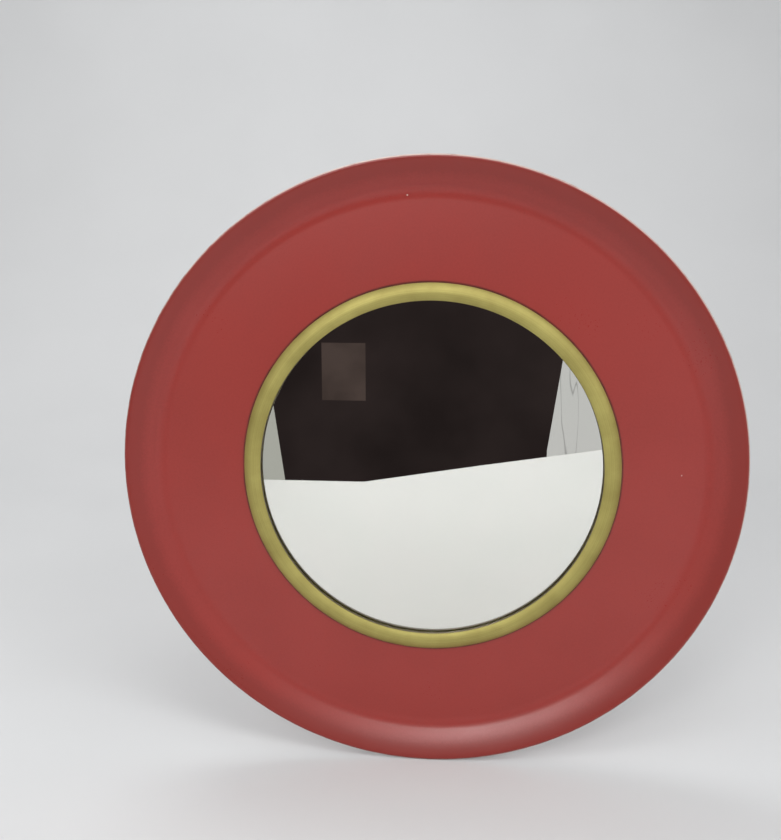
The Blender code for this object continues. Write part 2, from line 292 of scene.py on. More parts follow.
def turned_section_tree():
    """Sweeps a (radius, height) section once round the Y axis."""
    tree, start = new_geometry_tree(
        "turned_section",
        {
            "Steps": "Int",
            "Turning Radius": "Float",
            "Place": "Vector",
            "Facing": "Float",
            "Finish": "Material",
        },
    )
    section = add_node(tree, "GeometryNodeMeshToCurve", {"Mesh": start["Geometry"]})
    circle = add_node(
        tree,
        "GeometryNodeCurvePrimitiveCircle",
        {"Resolution": start["Steps"], "Radius": start["Turning Radius"]},
    )
    upright = add_node(tree, "GeometryNodeSetCurveNormal", {"mode": "Z_UP", "Curve": circle})
    swept = add_node(tree, "GeometryNodeCurveToMesh", {"Curve": upright, "Profile Curve": section})
    facing = add_node(tree, "ShaderNodeCombineXYZ", {"X": start["Facing"]})
    placed = add_node(
        tree,
        "GeometryNodeTransform",
        {"Geometry": swept, "Rotation": facing, "Translation": start["Place"]},
    )
    return finish_tree(tree, placed, start["Finish"])


def fitted_copies_tree():
    """Puts a copy of a pattern piece at every place, turned about its own axis by chance."""
    tree, start = new_geometry_tree(
        "fitted_copies",
        {
            "Pattern": "Object",
            "Facing": "Float",
            "Least Turn": "Float",
            "Most Turn": "Float",
            "Seed": "Int",
            "Finish": "Material",
        },
    )
    pattern = add_node(
        tree,
        "GeometryNodeObjectInfo",
        {"As Instance": True, "Object": start["Pattern"]},
        "Geometry",
    )
    least, most = (
        add_node(tree, "ShaderNodeCombineXYZ", {"X": start["Facing"], "Y": start[turn]})
        for turn in ("Least Turn", "Most Turn")
    )
    turn = add_node(
        tree,
        "FunctionNodeRandomValue",
        {"data_type": "FLOAT_VECTOR", "Min": least, "Max": most, "Seed": start["Seed"]},
    )
    copies = add_node(
        tree,
        "GeometryNodeInstanceOnPoints",
        {"Points": start["Geometry"], "Instance": pattern, "Rotation": turn},
    )
    return finish_tree(tree, copies, start["Finish"])


def kept_tree(name, make):
    return bpy.data.node_groups.get(name) or make()


def run_tree(name, mesh, tree, values):
    """Puts a mesh through a tree and returns the finished piece."""
    source = add_object(f"{name}_source", mesh)
    modifier = source.modifiers.new(tree.name, "NODES")
    modifier.node_group = tree
    for socket in tree.interface.items_tree:
        if socket.in_out == "INPUT" and socket.name in values:
            modifier[socket.identifier] = values[socket.name]
    return finished(name, source)


# Meshes ----------------------------------------------------------------------------------


def add_object(name, data):
    obj = bpy.data.objects.new(name, data)
    bpy.context.scene.collection.objects.link(obj)
    return obj


def finished(name, source):
    """One plain closed mesh of an evaluated object, with its place in its vertices."""
    bpy.context.view_layer.update()
    graph = bpy.context.evaluated_depsgraph_get()
    mesh = bpy.data.meshes.new_from_object(source.evaluated_get(graph), depsgraph=graph)
    mesh.name = name
    mesh.transform(source.matrix_world)
    bpy.data.objects.remove(source)
    bm = bmesh.new()
    bm.from_mesh(mesh)
    bmesh.ops.remove_doubles(bm, verts=bm.verts, dist=WELD)
    bmesh.ops.dissolve_degenerate(bm, edges=bm.edges, dist=WELD / 10)
    bmesh.ops.recalc_face_normals(bm, faces=bm.faces)
    open_edges = sum(len(edge.link_faces) != 2 for edge in bm.edges)
    bm.to_mesh(mesh)
    bm.free()
    if open_edges or not mesh.polygons:
        raise RuntimeError(f"{name} isn't a closed shape: {open_edges} open edges")
    mesh.shade_smooth()
    mesh.set_sharp_from_angle(angle=SHARP_ANGLE)
    return add_object(name, mesh)


def paint(piece, material):
    piece.data.materials.clear()
    piece.data.materials.append(material)


def fit(piece, body, slot, *nodes):
    """Attaches a finished piece to its body and hides the nodes it stands for; slot is not used.
    """
    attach(piece, body)
    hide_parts(*nodes)


def arc(centre_r, centre_h, radius, start, end, steps):
    """Points round a circle from one angle to another."""
    return [
        (
            centre_r + radius * math.cos(start + (end - start) * i / steps),
            centre_h + radius * math.sin(start + (end - start) * i / steps),
        )
        for i in range(steps + 1)
    ]


def section_mesh(name, points, turning_radius, closed):
    """Edges through (radius, height) points, measured from the turning circle."""
    mesh = bpy.data.meshes.new(f"{name}_section")
    bm = bmesh.new()
    corners = [bm.verts.new((r - turning_radius, h, 0)) for r, h in points]
    for first, second in zip(corners, corners[1:]):
        bm.edges.new((first, second))
    if closed:
        bm.edges.new((corners[-1], corners[0]))
    bm.to_mesh(mesh)
    bm.free()
    return mesh


def turned(name, points, material, steps, closed, place=(0, FLOOR_Y, 0)):
    """A piece turned from (radius, height) points; heights run from the place to the front."""
    turning_radius = max(r for r, _ in points)
    return run_tree(
        name,
        section_mesh(name, points, turning_radius, closed),
        kept_tree("turned_section", turned_section_tree),
        {
            "Steps": steps,
            "Turning Radius": turning_radius,
            "Place": place,
            "Facing": FACE_WALL,
            "Finish": material,
        },
    )


def places_mesh(name, places):
    mesh = bpy.data.meshes.new(f"{name}_places")
    mesh.from_pydata(places, [], [])
    return mesh


def copies(name, pattern, places, material, turns, seed):
    return run_tree(
        name,
        places_mesh(name, places),
        kept_tree("fitted_copies", fitted_copies_tree),
        {
            "Pattern": pattern,
            "Facing": FACE_WALL,
            "Least Turn": turns[0],
            "Most Turn": turns[1],
            "Seed": seed,
            "Finish": material,
        },
    )


def middle_of(node):
    low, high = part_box(node)
    return (low + high) / 2


def circle_outline(x, y, radius, steps):
    """A hole: it runs the other way round from a plate's edge."""
    turns = (-2 * math.pi * i / steps for i in range(steps))
    return [(x + radius * math.cos(turn), y + radius * math.sin(turn)) for turn in turns]


def stamped_plate(name, outlines, thickness, arris, place=Matrix.Identity(4)):
    """A flat plate in its XY plane with rounded edges: the first outline is its edge."""
    curve = bpy.data.curves.new(name, "CURVE")
    curve.dimensions = "2D"
    curve.fill_mode = "BOTH"
    curve.extrude = thickness / 2 - arris
    curve.bevel_depth = arris
    curve.bevel_resolution = 2
    curve.offset = -arris
    for outline in outlines:
        add_outline(curve, outline)
    source = add_object(f"{name}_source", curve)
    source.matrix_world = place
    return finished(name, source)


def add_outline(curve, points):
    spline = curve.splines.new("POLY")
    spline.points.add(len(points) - 1)
    for point, (x, y) in zip(spline.points, points):
        point.co = (x, y, 0, 1)
    spline.use_cyclic_u = True


def combined(name, piece, other, operation):
    """An exact Boolean of two pieces, both used up."""
    boolean = piece.modifiers.new(operation, "BOOLEAN")
    boolean.operation = operation
    boolean.solver = "EXACT"
    boolean.object = other
    result = finished(name, piece)
    bpy.data.objects.remove(other)
    return result


# Materials -------------------------------------------------------------------------------


def per_metre(millimetres):
    """Texture scale that gives one feature in this many millimetres."""
    return 1 / (millimetres * MM)


def new_material(name):
    material = bpy.data.materials.new(name)
    material.use_nodes = True
    tree = material.node_tree
    place = add_node(tree, "ShaderNodeTexCoord", {}, "Object")
    return material, tree, tree.nodes["Principled BSDF"], place


def axis_distance(tree, place):
    """Distance from the dish's axis."""
    across = add_node(
        tree, "ShaderNodeVectorMath", {"operation": "MULTIPLY", 1: (1, 0, 1), 0: place}, "Vector"
    )
    return add_node(tree, "ShaderNodeVectorMath", {"operation": "LENGTH", 0: across}, "Value")


def spread(tree, *parts):
    """The sum of (value, its range, new range) parts, each taken from one range to the other."""
    total = None
    for value, (a, b), (c, d) in parts:
        settings = {"Value": value, "From Min": a, "From Max": b, "To Min": c, "To Max": d}
        part = add_node(tree, "ShaderNodeMapRange", settings)
        if total is not None:
            part = add_node(tree, "ShaderNodeMath", {"operation": "ADD", 0: total, 1: part})
        total = part
    return total


def layer(tree, tone, *coats):
    """A tone under (share, tone) coats laid over each other."""
    for share, coat in coats:
        settings = {"data_type": "RGBA", "Factor": share, "A": tone, "B": coat}
        tone = add_node(tree, "ShaderNodeMix", settings)
    return tone


def dress(tree, shader, tone, gloss, *reliefs):
    """Links a finish's tone, its roughness and its (height, strength, depth) reliefs."""
    tree.links.new(tone, shader.inputs["Base Color"])
    tree.links.new(gloss, shader.inputs["Roughness"])
    under = {}
    for height, strength, depth in reliefs:
        settings = {"Height": height, "Strength": strength, "Distance": depth, **under}
        under = {"Normal": add_node(tree, "ShaderNodeBump", settings)}
    tree.links.new(under["Normal"], shader.inputs["Normal"])


UNIT = (0, 1)
NOISE = (0.3, 0.7)  # the range that most of a noise texture's values fall in


def red_lacquer(finish):
    """Cellulose lacquer sprayed over turned, sanded fibreboard and rubbed to a satin: a red
    with a fine mist grain, faint turning lines and a broad soft sheen. Painted shade darkens
    the outer lip and the corner at the ring's foot, and a painted highlight runs along the
    top and right of the edge."""
    material, tree, shader, place = new_material("satin_red_lacquer")
    distance = axis_distance(tree, place)
    cloud = add_node(
        tree, "ShaderNodeTexNoise", {"Vector": place, "Scale": per_metre(70), "Detail": 3}
    )
    mist = add_node(
        tree,
        "ShaderNodeTexNoise",
        {"Vector": place, "Scale": per_metre(1.6), "Detail": 2, "Roughness": 0.7},
    )
    lines = add_node(
        tree,
        "ShaderNodeTexNoise",
        {"noise_dimensions": "1D", "W": distance, "Scale": per_metre(1.8), "Detail": 3},
    )
    # Painted shade: the red darkens towards the outer lip; cloud and mist add random tone
    lip_shade_band = (OUTER_RADIUS - 17 * MM, OUTER_RADIUS - 9 * MM)
    thickness = spread(
        tree, (cloud, NOISE, (-0.1, 0.3)), (mist, NOISE, (-0.2, 0.3)), (distance, lip_shade_band, UNIT)
    )
    # Painted shade: a dark brown line in the corner at the ring's foot, fading outwards and broken
    # up by noise
    ring_shade_breakup = add_node(
        tree, "ShaderNodeTexNoise", {"Vector": place, "Scale": per_metre(9), "Detail": 2}
    )
    ring_shade_band = (RING_OUTER_RADIUS + 0.8 * MM, RING_OUTER_RADIUS + 1.8 * MM)
    corner = add_node(
        tree,
        "ShaderNodeMath",
        {
            "operation": "MULTIPLY",
            0: spread(tree, (distance, ring_shade_band, (1, 0))),
            1: spread(tree, (ring_shade_breakup, (0.3, 0.6), (0.6, 1))),
        },
    )
    # Painted highlight along the edge, with the real chips laid over it
    rim_highlight_and_chips = painted_rim_highlight(tree, place, distance)
    for chip in CHIPS:
        bare = chip_share(tree, place, mist, chip)
        rim_highlight_and_chips = add_node(tree, "ShaderNodeMath", {"operation": "MAXIMUM", 0: rim_highlight_and_chips, 1: bare})
    tone = layer(
        tree,
        finish.lacquer,
        (thickness, finish.deep_red_and_lip_shade),
        (corner, finish.ring_foot_shade),
        (rim_highlight_and_chips, finish.primer_and_rim_light),
    )
    gloss = spread(tree, (mist, NOISE, (0.28, 0.34)), (cloud, NOISE, (-0.02, 0.03)))
    dress(tree, shader, tone, gloss, (lines, 0.5, 0.02 * MM), (mist, 0.5, 0.03 * MM))
    shader.inputs["IOR"].default_value = 1.5
    return material


def painted_rim_highlight(tree, place, distance):
    """Share of a painted highlight on the outer edge, where light catches the rounded rim, most at
    the top and right.
    """
    lean_to_light = add_node(
        tree,
        "ShaderNodeVectorMath",
        {"operation": "DOT_PRODUCT", 1: (0.6, 0, 1), 0: place},
        "Value",
    )
    highlight_breakup = add_node(
        tree,
        "ShaderNodeTexNoise",
        {"Vector": place, "Scale": per_metre(9), "Detail": 5, "Roughness": 0.7},
    )
    lit_side = spread(tree, (lean_to_light, (-0.12, 0.12), (-0.2, 0.1)))
    patches = add_node(tree, "ShaderNodeMath", {"operation": "ADD", 0: highlight_breakup, 1: lit_side})
    at_edge = (OUTER_RADIUS - 1.3 * MM, OUTER_RADIUS - 0.6 * MM)
    return add_node(
        tree,
        "ShaderNodeMath",
        {
            "operation": "MULTIPLY",
            0: spread(tree, (distance, at_edge, UNIT)),
            1: spread(tree, (patches, (0.2, 0.6), (0, 0.7))),
        },
    )


def chip_share(tree, place, mist, chip):
    """Share of pale ground in a small chip with a ragged outline."""
    flat = add_node(
        tree, "ShaderNodeVectorMath", {"operation": "MULTIPLY", 1: (1, 0, 1), 0: place}, "Vector"
    )
    away = add_node(
        tree,
        "ShaderNodeVectorMath",
        {"operation": "DISTANCE", 1: (chip[0], 0, chip[1]), 0: flat},
        "Value",
    )
    rag = spread(tree, (mist, NOISE, (0, 0.4 * MM)))
    ragged = add_node(tree, "ShaderNodeMath", {"operation": "ADD", 0: away, 1: rag})
    return spread(tree, (ragged, (0.9 * MM, 0.5 * MM), (0, 0.7)))


def back_coat(finish):
    """The same lacquer as a single thin mist coat on unsanded fibreboard: dull, uneven red
    with the board's brown fibres showing through."""
    material, tree, shader, place = new_material("thin_red_back_coat")
    fibres = add_node(
        tree,
        "ShaderNodeTexNoise",
        {"Vector": place, "Scale": per_metre(0.9), "Detail": 4, "Roughness": 0.7},
    )
    cloud = add_node(
        tree,
        "ShaderNodeTexNoise",
        {"Vector": place, "Scale": per_metre(35), "Detail": 4, "Roughness": 0.6},
    )
    bare = spread(tree, (cloud, (0.35, 0.7), (0.05, 0.35)), (fibres, (0.35, 0.75), (-0.1, 0.3)))
    tone = layer(tree, finish.deep_red_and_lip_shade, (bare, finish.fibreboard))
    gloss = spread(tree, (fibres, NOISE, (0.62, 0.8)))
    dress(tree, shader, tone, gloss, (fibres, 0.7, 0.06 * MM))
    return material


def gold_lacquer(finish):
    """Bronze-powder lacquer wiped round a turned ring: a greenish gold that glints in streaks
    round the ring, and dark bronze, less metallic, on its inner wall."""
    material, tree, shader, place = new_material("satin_gold_lacquer")
    distance = axis_distance(tree, place)
    streaks = add_node(
        tree,
        "ShaderNodeTexNoise",
        {"noise_dimensions": "1D", "W": distance, "Scale": per_metre(0.9), "Detail": 3},
    )
    powder = add_node(
        tree,
        "ShaderNodeTexNoise",
        {"Vector": place, "Scale": per_metre(1.2), "Detail": 3, "Roughness": 0.7},
    )
    cloud = add_node(
        tree, "ShaderNodeTexNoise", {"Vector": place, "Scale": per_metre(22), "Detail": 3}
    )
    thin = spread(tree, (streaks, NOISE, (0, 0.25)), (cloud, NOISE, (-0.1, 0.5)))
    # The ring's inner wall turns dark bronze and less metallic
    inwards = (GLASS_RADIUS - 1.75 * MM, GLASS_RADIUS - 1.9 * MM)
    inside = spread(tree, (distance, inwards, UNIT))
    tone = layer(tree, finish.gold, (thin, finish.gold_shade), (inside, finish.bronze))
    tree.links.new(spread(tree, (inside, UNIT, (0.6, 0.2))), shader.inputs["Metallic"])
    gloss = spread(tree, (powder, NOISE, (0.48, 0.6)), (streaks, NOISE, (-0.03, 0.03)))
    dress(tree, shader, tone, gloss, (streaks, 0.5, 0.02 * MM), (powder, 0.6, 0.02 * MM))
    return material


def float_glass(finish):
    """Flat float glass: clear, smooth and very slightly green."""
    material, tree, shader, place = new_material("float_glass")
    film = add_node(
        tree, "ShaderNodeTexNoise", {"Vector": place, "Scale": per_metre(45), "Detail": 3}
    )
    tone = layer(tree, finish.glass, (spread(tree, (film, NOISE, (0, 0.4))), (0.96, 0.97, 0.96)))
    tree.links.new(tone, shader.inputs["Base Color"])
    shader.inputs["Roughness"].default_value = 0.0
    shader.inputs["IOR"].default_value = 1.52
    shader.inputs["Transmission Weight"].default_value = 1.0
    return material


def silver_coat(finish):
    """Silver deposited on the back of the glass: a bright mirror, a little clouded with age
    and browned at its rim where damp gets in."""
    material, tree, shader, place = new_material("silver_coat")
    haze = add_node(
        tree, "ShaderNodeTexNoise", {"Vector": place, "Scale": per_metre(30), "Detail": 4}
    )
    damp = add_node(
        tree, "ShaderNodeTexNoise", {"Vector": place, "Scale": per_metre(5), "Detail": 4}
    )
    at_rim = (GLASS_RADIUS - 2.2 * MM, GLASS_RADIUS - 0.4 * MM)
    rim = add_node(
        tree,
        "ShaderNodeMath",
        {
            "operation": "MULTIPLY",
            0: spread(tree, (axis_distance(tree, place), at_rim, UNIT)),
            1: spread(tree, (damp, (0.4, 0.6), UNIT)),
        },
    )
    clouding = spread(tree, (haze, (0.4, 0.8), (0, 0.12)))
    tone = layer(tree, finish.silver, (clouding, (0.78, 0.78, 0.75)), (rim, finish.bronze))
    tree.links.new(tone, shader.inputs["Base Color"])
    shader.inputs["Metallic"].default_value = 1.0
    shader.inputs["Roughness"].default_value = 0.0
    return material


def grey_card(finish):
    """Pulp board from waste paper: matt grey with fine flecks and short fibres."""
    material, tree, shader, place = new_material("grey_pulp_card")
    flecks = add_node(
        tree,
        "ShaderNodeTexNoise",
        {"Vector": place, "Scale": per_metre(1.1), "Detail": 4, "Roughness": 0.7},
    )
    dark = spread(tree, (flecks, (0.35, 0.7), UNIT))
    tone = layer(tree, finish.card, (dark, (0.16, 0.145, 0.12)))
    gloss = spread(tree, (flecks, NOISE, (0.85, 0.95)))
    dress(tree, shader, tone, gloss, (flecks, 0.6, 0.04 * MM))
    return material


def hardboard(finish):
    """Hot-pressed wood fibre: hard, smooth and brown, with darker fibres lying every way and
    a faint sheen from the press plate."""
    material, tree, shader, place = new_material("pressed_hardboard")
    fibres = add_node(
        tree,
        "ShaderNodeTexNoise",
        {"Vector": place, "Scale": per_metre(1.4), "Detail": 6, "Roughness": 0.75},
    )
    cloud = add_node(
        tree, "ShaderNodeTexNoise", {"Vector": place, "Scale": per_metre(28), "Detail": 3}
    )
    dark = spread(tree, (fibres, (0.35, 0.68), UNIT))
    warm = spread(tree, (cloud, (0.35, 0.75), (0, 0.5)))
    tone = layer(
        tree, finish.hardboard, (dark, (0.075, 0.038, 0.02)), (warm, (0.22, 0.13, 0.075))
    )
    gloss = spread(tree, (fibres, NOISE, (0.48, 0.66)))
    dress(tree, shader, tone, gloss, (fibres, 0.5, 0.03 * MM))
    return material


def zinc_plate(finish):
    """Mild steel, stamped or drawn, tumbled and bright zinc plated: pale grey metal with fine
    handling marks and slightly duller patches."""
    material, tree, shader, place = new_material("bright_zinc_plate")
    patches = add_node(
        tree, "ShaderNodeTexNoise", {"Vector": place, "Scale": per_metre(5), "Detail": 3}
    )
    marks = add_node(
        tree,
        "ShaderNodeTexNoise",
        {"Vector": place, "Scale": per_metre(0.5), "Detail": 5, "Roughness": 0.8},
    )
    dull = spread(tree, (patches, (0.35, 0.7), (0, 0.5)))
    tone = layer(tree, finish.zinc, (dull, (0.36, 0.36, 0.35)))
    shader.inputs["Metallic"].default_value = 1.0
    gloss = spread(tree, (patches, NOISE, (0.22, 0.36)), (marks, NOISE, (-0.03, 0.06)))
    dress(tree, shader, tone, gloss, (marks, 0.5, 0.01 * MM))
    return material


def black_rubber(finish):
    """Moulded black rubber: matt, with a fine spark-eroded grain and a grey bloom."""
    material, tree, shader, place = new_material("moulded_black_rubber")
    grain = add_node(
        tree,
        "ShaderNodeTexNoise",
        {"Vector": place, "Scale": per_metre(0.6), "Detail": 3, "Roughness": 0.7},
    )
    bloom = add_node(
        tree, "ShaderNodeTexNoise", {"Vector": place, "Scale": per_metre(6), "Detail": 3}
    )
    grey = spread(tree, (bloom, (0.4, 0.75), (0, 0.5)))
    tone = layer(tree, finish.rubber, (grey, (0.05, 0.05, 0.052)))
    gloss = spread(tree, (grain, NOISE, (0.62, 0.82)))
    dress(tree, shader, tone, gloss, (grain, 0.6, 0.05 * MM))
    return material


KEPT = {}


def kept_material(make, context):
    """The finish that a maker gives, made once."""
    key = make.__name__
    made = bpy.data.materials.get(KEPT.get(key, ""))
    if made is None:
        made = make(context.scene.wall_mirror_finishes)
        KEPT[key] = made.name
    return made


# Sections --------------------------------------------------------------------------------


def dish_section(s):
    """Closed section of the dish: lip, rounded edge, bevelled back, bore and flat floor."""
    back = FLOOR_Y - BACK_Y
    bore = GLASS_RADIUS + s.glass_clearance
    end_radius = OUTER_RADIUS - s.edge_radius * (1 + math.sin(s.lip_end_angle))
    cove_start = OUTER_RADIUS - s.lip_width
    cove = arc(cove_start, s.cove_radius, s.cove_radius, -QUARTER, s.cove_angle - QUARTER, 16)
    join_r, join_h = cove[-1]
    sweep_run = end_radius - join_r
    sweep = sweep_run / (math.sin(s.cove_angle) - math.sin(s.lip_end_angle))
    lip = arc(
        join_r + sweep * math.sin(s.cove_angle),
        join_h - sweep * math.cos(s.cove_angle),
        sweep,
        QUARTER + s.cove_angle,
        QUARTER + s.lip_end_angle,
        12,
    )
    edge_r = lip[-1][0] + s.edge_radius * math.sin(s.lip_end_angle)
    edge_h = lip[-1][1] - s.edge_radius * math.cos(s.lip_end_angle)
    flat_end = OUTER_RADIUS - s.back_bevel
    run, rise = edge_r - flat_end, edge_h - back
    bevel = math.atan2(rise, run) - math.asin(s.edge_radius / math.hypot(run, rise))
    outside = arc(edge_r, edge_h, s.edge_radius, QUARTER + s.lip_end_angle, 0, 9)
    behind = arc(edge_r, edge_h, s.edge_radius, 0, bevel - QUARTER, 7)
    lean = (math.cos(bevel) * HOLD, math.sin(bevel) * HOLD)
    slope = [
        (behind[-1][0] - lean[0], behind[-1][1] - lean[1]),
        (flat_end + lean[0], back + lean[1]),
        (flat_end, back),
        (flat_end - HOLD, back),
    ]
    soft = s.corner_softening
    back_corner = arc(bore + soft, back + soft, soft, -QUARTER, -math.pi, 4)
    front_corner = arc(bore + soft, -soft, soft, math.pi, QUARTER, 4)
    wall = [(bore + soft + HOLD, back), *back_corner, *front_corner, (bore + soft + HOLD, 0)]
    floor = [(cove_start - HOLD, 0)]
    return floor + cove + lip[1:] + outside[1:] + behind[1:] + slope + wall


def ring_section(s):
    """Closed section of the trim ring: one bowed crown over a flat foot."""
    inner, outer = GLASS_RADIUS - s.ring_cover, RING_OUTER_RADIUS
    foot = FLOOR_Y - RING_FOOT_Y
    chord = Vector((outer - inner, s.ring_outer_height - s.ring_inner_height))
    half = chord.length / 2
    bow = (half**2 + s.ring_bulge**2) / (2 * s.ring_bulge)
    tilt = math.atan2(chord.y, chord.x)
    drop = bow - s.ring_bulge
    centre_r = (inner + outer) / 2 + drop * math.sin(tilt)
    centre_h = (s.ring_inner_height + s.ring_outer_height) / 2 - drop * math.cos(tilt)
    half_turn = math.asin(half / bow)
    start, end = QUARTER + tilt + half_turn, QUARTER + tilt - half_turn
    crown = arc(centre_r, centre_h, bow, start, end, 28)
    return crown + [(outer, foot), (inner, foot)]


def disc_section(radius, front, back, arris):
    """Open section of a disc, from its axis over its edge and back, with rounded corners."""
    return [
        (0, front),
        (radius - arris - HOLD, front),
        *arc(radius - arris, front - arris, arris, QUARTER, 0, 3),
        *arc(radius - arris, back + arris, arris, 0, -QUARTER, 3),
        (radius - arris - HOLD, back),
        (0, back),
    ]


def button_outline(s):
    """Round eye at the screw and a smaller round tip, joined by straight sides."""
    side = QUARTER - math.asin((s.button_eye - s.button_tip) / s.button_reach)
    tip = arc(s.button_reach, 0, s.button_tip, -side, side, 20)
    eye = arc(0, 0, s.button_eye, side, 2 * math.pi - side, 28)
    return tip + eye


def screw_section(s, bite):
    """Open section of a wood screw, from its crown to its point. Heights are towards the wall."""
    head, rise = s.screw_head, s.screw_head_height
    shoulder, foot = 0.45 * rise, 0.05 * rise
    undercut = head - 0.08 * MM
    dome = [
        (head * math.sin(a), shoulder + (rise - shoulder) * math.cos(a))
        for a in (QUARTER * i / 10 for i in range(11))
    ]
    shank = [
        (head, foot),
        (undercut, 0),
        (s.screw_shank, 0),
        (s.screw_shank, s.screw_tip - bite),
        (0, -bite),
    ]
    return dome + shank


def wire_route(s, half):
    """Closed centre line of the D ring: a straight bar over a round bow."""
    corner = s.wire_corner
    right = arc(half - corner, -corner, corner, QUARTER, 0, 10)
    bow = arc(0, -s.ring_drop, half, 0, -math.pi, 48)
    left = arc(corner - half, -corner, corner, math.pi, QUARTER, 10)
    return right + bow + left


# Operators -------------------------------------------------------------------------------


class MIRROR_OT_dish(Operator):
    """Turns the red dish and drills it for its screws"""

    bl_idname = "wall_mirror.dish"
    bl_label = "Turned dish"

    def execute(self, context):
        s = context.scene.wall_mirror_sizes
        lacquer = kept_material(red_lacquer, context)
        dish = turned("lacquered_dish", dish_section(s), lacquer, s.dish_steps, True)
        for screw in BUTTON_SCREWS + HANGER_SCREWS:
            low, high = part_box(screw)
            drill = hole_drill(s, (low + high) / 2, BACK_Y - low.y)
            dish = combined("lacquered_dish", dish, drill, "DIFFERENCE")
        paint(dish, lacquer)
        dish.data.materials.append(kept_material(back_coat, context))
        for face in dish.data.polygons:
            face.material_index = int(face.normal.y > BACK_SLOPE)
        fit(dish, ROOT, "red_lacquer", "frame")
        return {"FINISHED"}


DRILL_PAST = 0.4 * MM  # a hole is this much deeper than its screw


def hole_drill(s, middle, bite):
    """A drill's shape that stands through the dish's back round a screw."""
    depth = bite + DRILL_PAST
    sides = [(0, depth), (s.pilot_radius, depth), (s.pilot_radius, -depth), (0, -depth)]
    return turned("drill", sides, None, s.small_steps, False, (middle.x, BACK_Y, middle.z))


class MIRROR_OT_ring(Operator):
    """Turns the gold ring that holds the glass in"""

    bl_idname = "wall_mirror.ring"
    bl_label = "Gold ring"

    def execute(self, context):
        s = context.scene.wall_mirror_sizes
        gold = kept_material(gold_lacquer, context)
        ring = turned("gold_ring", ring_section(s), gold, s.dish_steps, True)
        fit(ring, ROOT, "gold_lacquer", "trim_ring")
        return {"FINISHED"}


class MIRROR_OT_glass(Operator):
    """Makes the flat glass with its silvered back"""

    bl_idname = "wall_mirror.glass"
    bl_label = "Silvered glass"

    def execute(self, context):
        s = context.scene.wall_mirror_sizes
        section = disc_section(GLASS_RADIUS, 0, FLOOR_Y - GLASS_BACK_Y, s.glass_arris)
        clear = kept_material(float_glass, context)
        glass = turned("silvered_glass", section, clear, s.dish_steps, False)
        glass.data.materials.append(kept_material(silver_coat, context))
        for face in glass.data.polygons:
            face.material_index = int(face.normal.y > SILVER_SLOPE)
        fit(glass, ROOT, "mirror_glass", "mirror_glass")
        return {"FINISHED"}


class MIRROR_OT_backing(Operator):
    """Makes the backing board and finishes the card in front of it"""

    bl_idname = "wall_mirror.backing"
    bl_label = "Backing"

    def execute(self, context):
        s = context.scene.wall_mirror_sizes
        low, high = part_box("backing_board")
        section = disc_section(high.x, FLOOR_Y - low.y, FLOOR_Y - high.y, s.board_arris)
        brown = kept_material(hardboard, context)
        board = turned("hardboard_back", section, brown, s.dish_steps, False)
        fit(board, ROOT, "hardboard", "backing_board")
        paint(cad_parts["card_packing"], kept_material(grey_card, context))
        return {"FINISHED"}


class MIRROR_OT_turn_buttons(Operator):
    """Stamps the steel buttons that turn to hold the board, one on each body"""

    bl_idname = "wall_mirror.turn_buttons"
    bl_label = "Turn buttons"

    def execute(self, context):
        s = context.scene.wall_mirror_sizes
        zinc = kept_material(zinc_plate, context)
        hole = circle_outline(0, 0, s.pilot_radius, s.small_steps)
        low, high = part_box(BUTTONS[0])
        pattern = stamped_plate("button", [button_outline(s), hole], high.y - low.y, s.plate_arris)
        for i, (button, screw) in enumerate(zip(BUTTONS, BUTTON_SCREWS)):
            pivot, centre = middle_of(screw), middle_of(button)
            inward = -math.atan2(-pivot.z, -pivot.x)
            place = (pivot.x, centre.y, pivot.z)
            name = f"steel_button_{i + 1}"
            plate = copies(name, pattern, [place], zinc, (inward, inward), 0)
            fit(plate, button, "zinc_steel", button)
        bpy.data.objects.remove(pattern)
        return {"FINISHED"}


class MIRROR_OT_screws(Operator):
    """Makes the cross-recess screws of the buttons and the hanger"""

    bl_idname = "wall_mirror.screws"
    bl_label = "Screws"

    def execute(self, context):
        s = context.scene.wall_mirror_sizes
        for name, nodes, seed in (
            ("button_screws", BUTTON_SCREWS, 3),
            ("hanger_screws", HANGER_SCREWS, 8),
        ):
            low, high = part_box(nodes[0])
            seat = high.y - s.screw_head_height
            pattern = screw_pattern(s, seat - low.y)
            places = [(middle_of(n).x, seat, middle_of(n).z) for n in nodes]
            zinc = kept_material(zinc_plate, context)
            screws = copies(name, pattern, places, zinc, (0, QUARTER), seed)
            bpy.data.objects.remove(pattern)
            fit(screws, ROOT, "zinc_steel", *nodes)
        return {"FINISHED"}


def upright_pattern(s, name, section):
    """A small turned piece that stands up along Z at the origin, ready to be copied."""
    pattern = turned(name, section, None, s.small_steps, False, (0, 0, 0))
    pattern.data.transform(Matrix.Rotation(QUARTER, 4, "X") @ Matrix.Scale(-1, 4, (0, 1, 0)))
    return pattern


def screw_pattern(s, bite):
    """A pan-head screw with a tapered cross recess, upright at the origin."""
    blank = upright_pattern(s, "screw", screw_section(s, bite))
    return combined("screw_pattern", blank, cross_recess(s), "DIFFERENCE")


